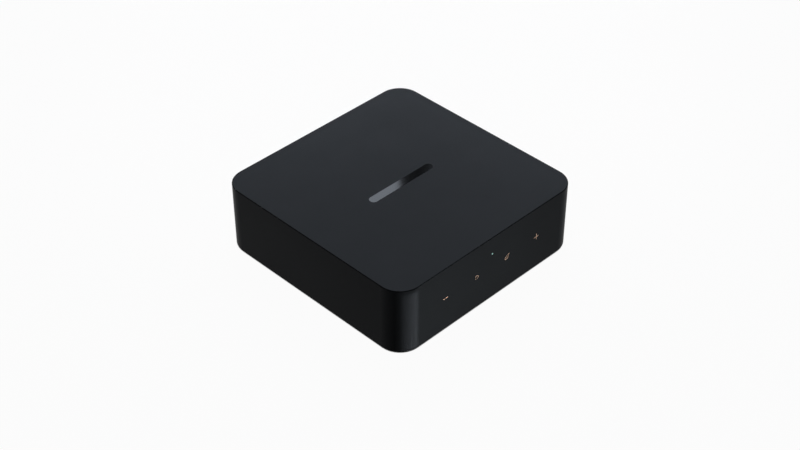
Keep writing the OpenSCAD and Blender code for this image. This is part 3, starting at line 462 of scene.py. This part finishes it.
def roundCorners(points, radius):
    line = []
    steps = roundSteps["corner"]
    count = len(points)
    for i in range(count):
        here = Vector(points[i])
        back = (Vector(points[i - 1]) - here).normalized()
        ahead = (Vector(points[(i + 1) % count]) - here).normalized()
        half = back.angle(ahead) / 2
        centre = here + (back + ahead).normalized() * (radius / math.sin(half))
        start = here + back * (radius / math.tan(half)) - centre
        end = here + ahead * (radius / math.tan(half)) - centre
        swing = start.angle_signed(end)
        for k in range(steps + 1):
            turn = Matrix.Rotation(-swing * k / steps, 2)
            line.append(tuple(centre + turn @ start))
    return line


# a flat outline raised into a thin plate
def raisePlate(bm, outline, low, high):
    bottom = [bm.verts.new((x, y, low)) for x, y in outline]
    top = [bm.verts.new((x, y, high)) for x, y in outline]
    bm.faces.new(top)
    bm.faces.new(list(reversed(bottom)))
    for i in range(len(outline)):
        n = (i + 1) % len(outline)
        bm.faces.new((bottom[i], bottom[n], top[n], top[i]))


# a closed band between two outlines with as many points each
def raiseBand(bm, outer, inner, low, high):
    outLow, outHigh, inLow, inHigh = [
        [bm.verts.new((x, y, z)) for x, y in line] for line in (outer, inner) for z in (low, high)
    ]
    for i in range(len(outer)):
        n = (i + 1) % len(outer)
        bm.faces.new((outLow[i], outLow[n], outHigh[n], outHigh[i]))
        bm.faces.new((inLow[n], inLow[i], inHigh[i], inHigh[n]))
        bm.faces.new((outHigh[i], outHigh[n], inHigh[n], inHigh[i]))
        bm.faces.new((outLow[n], outLow[i], inLow[i], inLow[n]))


weldReach = 0.0005


def closeMesh(bm, name, place):
    bmesh.ops.remove_doubles(bm, verts=bm.verts, dist=weldReach)
    bmesh.ops.recalc_face_normals(bm, faces=bm.faces)
    bm.transform(place)
    mesh = bpy.data.meshes.new(name)
    bm.to_mesh(mesh)
    bm.free()
    return mesh


keyMarks = {
    "proud": 0.03,         # ink on the face of the case
    "minusMark": {"at": (-36.0, 22.2), "width": 3.6, "stroke": 0.46},
    "plusMark": {"at": (36.3, 22.5), "width": 3.9, "stroke": 0.50},
    "playMark": {"at": (-11.3, 22.2), "width": 3.1, "height": 3.5, "stroke": 0.30,
                 "round": 0.4, "inRound": 0.16, "inset": 3.1},   # inset in strokes of the height
    "voiceMark": {"at": (12.3, 22.45), "head": (-0.75, -0.65), "radius": 1.15, "tip": (1.7, 1.6),
                  "stroke": 0.34},
}


def frontPlace(at):
    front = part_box("housing")[0][1]
    turn = Matrix.Rotation(math.radians(90), 4, "X")
    return Matrix.Translation((at[0] * mm, front, at[1] * mm)) @ turn @ Matrix.Scale(mm, 4)


def playOutlines(mark):
    w, h = mark["width"], mark["height"]
    corners = [(-w / 2, -h / 2), (w / 2, 0), (-w / 2, h / 2)]
    middle = Vector((-w / 6, 0))
    shrink = 1 - mark["stroke"] * mark["inset"] / h
    inner = [tuple(middle + (Vector(p) - middle) * shrink) for p in corners]
    return roundCorners(corners, mark["round"]), roundCorners(inner, mark["inRound"])


def voiceOutlines(mark):
    head, tip = Vector(mark["head"]), Vector(mark["tip"])
    inRadius = mark["radius"] - mark["stroke"]
    inTip = head + (tip - head) * (inRadius / mark["radius"])
    return teardrop(head, mark["radius"], tip), teardrop(head, inRadius, inTip)


def makeKeyMarks(marks):
    minus, plus = marks["minusMark"], marks["plusMark"]
    outlines = {
        "minusMark": [capsule(minus["width"], minus["stroke"], roundSteps["end"])],
        "plusMark": [cross(plus["width"], plus["stroke"], roundSteps["end"])],
        "playMark": playOutlines(marks["playMark"]),
        "voiceMark": voiceOutlines(marks["voiceMark"]),
    }
    for name, lines in outlines.items():
        bm = bmesh.new()
        raiseMark = raisePlate if len(lines) == 1 else raiseBand
        raiseMark(bm, *lines, 0, marks["proud"])
        mesh = closeMesh(bm, name, frontPlace(marks[name]["at"]))
        addPiece(name, mesh, "copperPrint", "streamer")


makeKeyMarks(keyMarks)

topInlay = {"at": (-0.5, -1.6), "width": 48.0, "depth": 5.2, "proud": 0.05}


def makeTopInlay(inlay):
    bm = bmesh.new()
    raisePlate(bm, capsule(inlay["width"], inlay["depth"], roundSteps["inlay"]), 0, inlay["proud"])
    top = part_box("housing")[1][2]
    place = Matrix.Translation((inlay["at"][0] * mm, inlay["at"][1] * mm, top)) @ Matrix.Scale(mm, 4)
    addPiece("topInlay", closeMesh(bm, "topInlay", place), "glossBlack", "streamer")


makeTopInlay(topInlay)

rearSigns = {
    "proud": 0.03,
    "line": 0.26,
    "arrow": {"half": 0.95, "flat": 0.75, "tip": 0.85},
    "pulse": {"reach": 1.1, "high": 0.7, "step": 0.5},
    "loop": {"radius": 0.85, "from": 75, "to": 375, "tip": -0.4, "back": 0.2, "half": 0.45},
    "network": {"box": 0.35, "top": 1.0, "under": 0.35, "aside": 0.7, "roof": -0.3, "foot": -1.0},
    "supply": {"reach": 1.1, "bar": 0.2, "dash": -0.4, "half": 0.27},
    "places": [
        # sign, x and z of its middle
        ("out", 31.2, 23.4), ("in", 45.2, 23.4), ("out", 17.5, 23.4), ("out", 5.5, 23.4),
        ("in", -5.7, 23.4), ("pulse", -15.6, 19.0), ("loop", -22.9, 19.0),
        ("network", -34.3, 26.0), ("supply", -47.8, 16.6),
    ],
}


def bar(left, low, right, high):
    return [(left, low), (right, low), (right, high), (left, high)]


def pulseOutline(sign, line):
    h, reach, high, step = line / 2, sign["reach"], sign["high"], sign["step"]
    return [(-reach, -high), (-step + h, -high), (-step + h, high - line), (step - h, high - line),
            (step - h, -high), (reach, -high), (reach, -high + line), (step + h, -high + line),
            (step + h, high), (-step - h, high), (-step - h, -high + line), (-reach, -high + line)]


# one box above two, joined by a line
def networkOutline(sign, line):
    h, box, aside, roof, foot = line / 2, sign["box"], sign["aside"], sign["roof"], sign["foot"]
    half = [(box, sign["top"]), (box, sign["under"]), (h, sign["under"]), (h, h), (aside + h, h),
            (aside + h, roof), (aside + box, roof), (aside + box, foot), (aside - box, foot),
            (aside - box, roof), (aside - h, roof), (aside - h, -h)]
    return half + [(-x, z) for x, z in reversed(half)]


# plain signs, two millimetres across, each a list of closed outlines
def signOutlines(signs):
    line, arrow, loop, supply = signs["line"], signs["arrow"], signs["loop"], signs["supply"]
    half, flat, tip = arrow["half"], arrow["flat"], arrow["tip"]
    radius, turns = loop["radius"], (loop["from"], loop["to"], roundSteps["loop"])
    ring = arc((0, 0), radius + line / 2, *turns) + arc((0, 0), radius - line / 2, *turns)[::-1]
    barb = loop["half"]
    head = [(loop["tip"], radius), (loop["back"], radius - barb), (loop["back"], radius + barb)]
    reach, dash = supply["reach"], supply["half"]
    dashes = [bar(x - dash, supply["dash"], x + dash, supply["dash"] + line)
              for x in (dash - reach, 0, reach - dash)]
    return {
        "out": [[(-half, -flat), (half, -flat), (0, tip)]],
        "in": [[(-half, flat), (0, -tip), (half, flat)]],
        "pulse": [pulseOutline(signs["pulse"], line)],
        "loop": [ring, head],
        "network": [networkOutline(signs["network"], line)],
        "supply": [bar(-reach, supply["bar"], reach, supply["bar"] + line)] + dashes,
    }


def rearPlace():
    turn = Matrix.Rotation(math.pi, 4, "Z") @ Matrix.Rotation(math.pi / 2, 4, "X")
    return Matrix.Translation((0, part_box("rear_panel")[1][1], 0)) @ turn @ Matrix.Scale(mm, 4)


def makeRearSigns(signs):
    outlines = signOutlines(signs)
    bm = bmesh.new()
    for sign, x, z in signs["places"]:
        for outline in outlines[sign]:
            raisePlate(bm, [(u - x, v + z) for u, v in outline], 0, signs["proud"])
    mesh = closeMesh(bm, "rearSigns", rearPlace())
    addPiece("rearSigns", mesh, "symbolPrint", "streamer")


makeRearSigns(rearSigns)
print("stage: marks, inlay and signs made")


def setTreeInputs(modifier, values):
    for item in modifier.node_group.interface.items_tree:
        if item.item_type == "SOCKET" and item.in_out == "INPUT" and item.name in values:
            modifier[item.identifier] = values[item.name]


# runs a tree once and keeps the result as a plain mesh
def meshFromTree(name, tree, values):
    holder = bpy.data.objects.new(name + "Rule", bpy.data.meshes.new(name + "Rule"))
    scene.collection.objects.link(holder)
    rule = holder.modifiers.new("rule", "NODES")
    rule.node_group = tree
    setTreeInputs(rule, values)
    graph = bpy.context.evaluated_depsgraph_get()
    mesh = bpy.data.meshes.new_from_object(holder.evaluated_get(graph), depsgraph=graph)
    mesh.name = name
    holder.modifiers.remove(rule)
    bpy.data.objects.remove(holder)
    return mesh


# flat strips in a row, on the upper and the lower face of a tongue
def makeStripTree(material):
    tree = bpy.data.node_groups.new("contactStrips", "GeometryNodeTree")
    addSockets(tree, "INPUT", {"Count": "Int", "Pitch": "Vector", "Strip Size": "Vector",
                               "First Upper": "Vector", "First Lower": "Vector"})
    addSockets(tree, "OUTPUT", {"Geometry": "Geometry"})
    given = tree.nodes.new("NodeGroupInput")
    put = tree.nodes.new("NodeGroupOutput")
    strip = tree.nodes.new("GeometryNodeMeshCube")
    joined = tree.nodes.new("GeometryNodeJoinGeometry")
    real = tree.nodes.new("GeometryNodeRealizeInstances")
    dressed = tree.nodes.new("GeometryNodeSetMaterial")
    dressed.inputs["Material"].default_value = material
    link = tree.links.new
    link(given.outputs["Strip Size"], strip.inputs["Size"])
    for face in ("First Upper", "First Lower"):
        row = tree.nodes.new("GeometryNodeMeshLine")
        row.mode = "OFFSET"
        placed = tree.nodes.new("GeometryNodeInstanceOnPoints")
        link(given.outputs["Count"], row.inputs["Count"])
        link(given.outputs[face], row.inputs["Start Location"])
        link(given.outputs["Pitch"], row.inputs["Offset"])
        link(row.outputs["Mesh"], placed.inputs["Points"])
        link(strip.outputs["Mesh"], placed.inputs["Instance"])
        link(placed.outputs["Instances"], joined.inputs["Geometry"])
    link(joined.outputs["Geometry"], real.inputs["Geometry"])
    link(real.outputs["Geometry"], dressed.inputs["Geometry"])
    link(dressed.outputs["Geometry"], put.inputs["Geometry"])
    return tree


tongueContacts = {
    "count": 12,
    "pitch": 0.5,
    "size": (0.3, 3.6, 0.04),
    "tip": 0.35,           # bare end of the tongue
    "thick": 0.7,          # of the tongue itself
}


def makeTongueContacts(strips):
    low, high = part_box("power_socket_tongue")
    shellLow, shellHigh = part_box("power_socket_shell")
    middleX, middleZ = (low[0] + high[0]) / 2, (shellLow[2] + shellHigh[2]) / 2
    startX = middleX - strips["pitch"] * (strips["count"] - 1) / 2 * mm
    middleY = high[1] - (strips["tip"] + strips["size"][1] / 2) * mm
    offZ = (strips["thick"] + strips["size"][2]) / 2 * mm
    mesh = meshFromTree("tongueContacts", makeStripTree(materials["contactGold"]), {
        "Count": strips["count"],
        "Pitch": (strips["pitch"] * mm, 0.0, 0.0),
        "Strip Size": [side * mm for side in strips["size"]],
        "First Upper": (startX, middleY, middleZ + offZ),
        "First Lower": (startX, middleY, middleZ - offZ),
    })
    addPiece("tongueContacts", mesh, "contactGold", "streamer")


makeTongueContacts(tongueContacts)
print("stage: contact strips made")
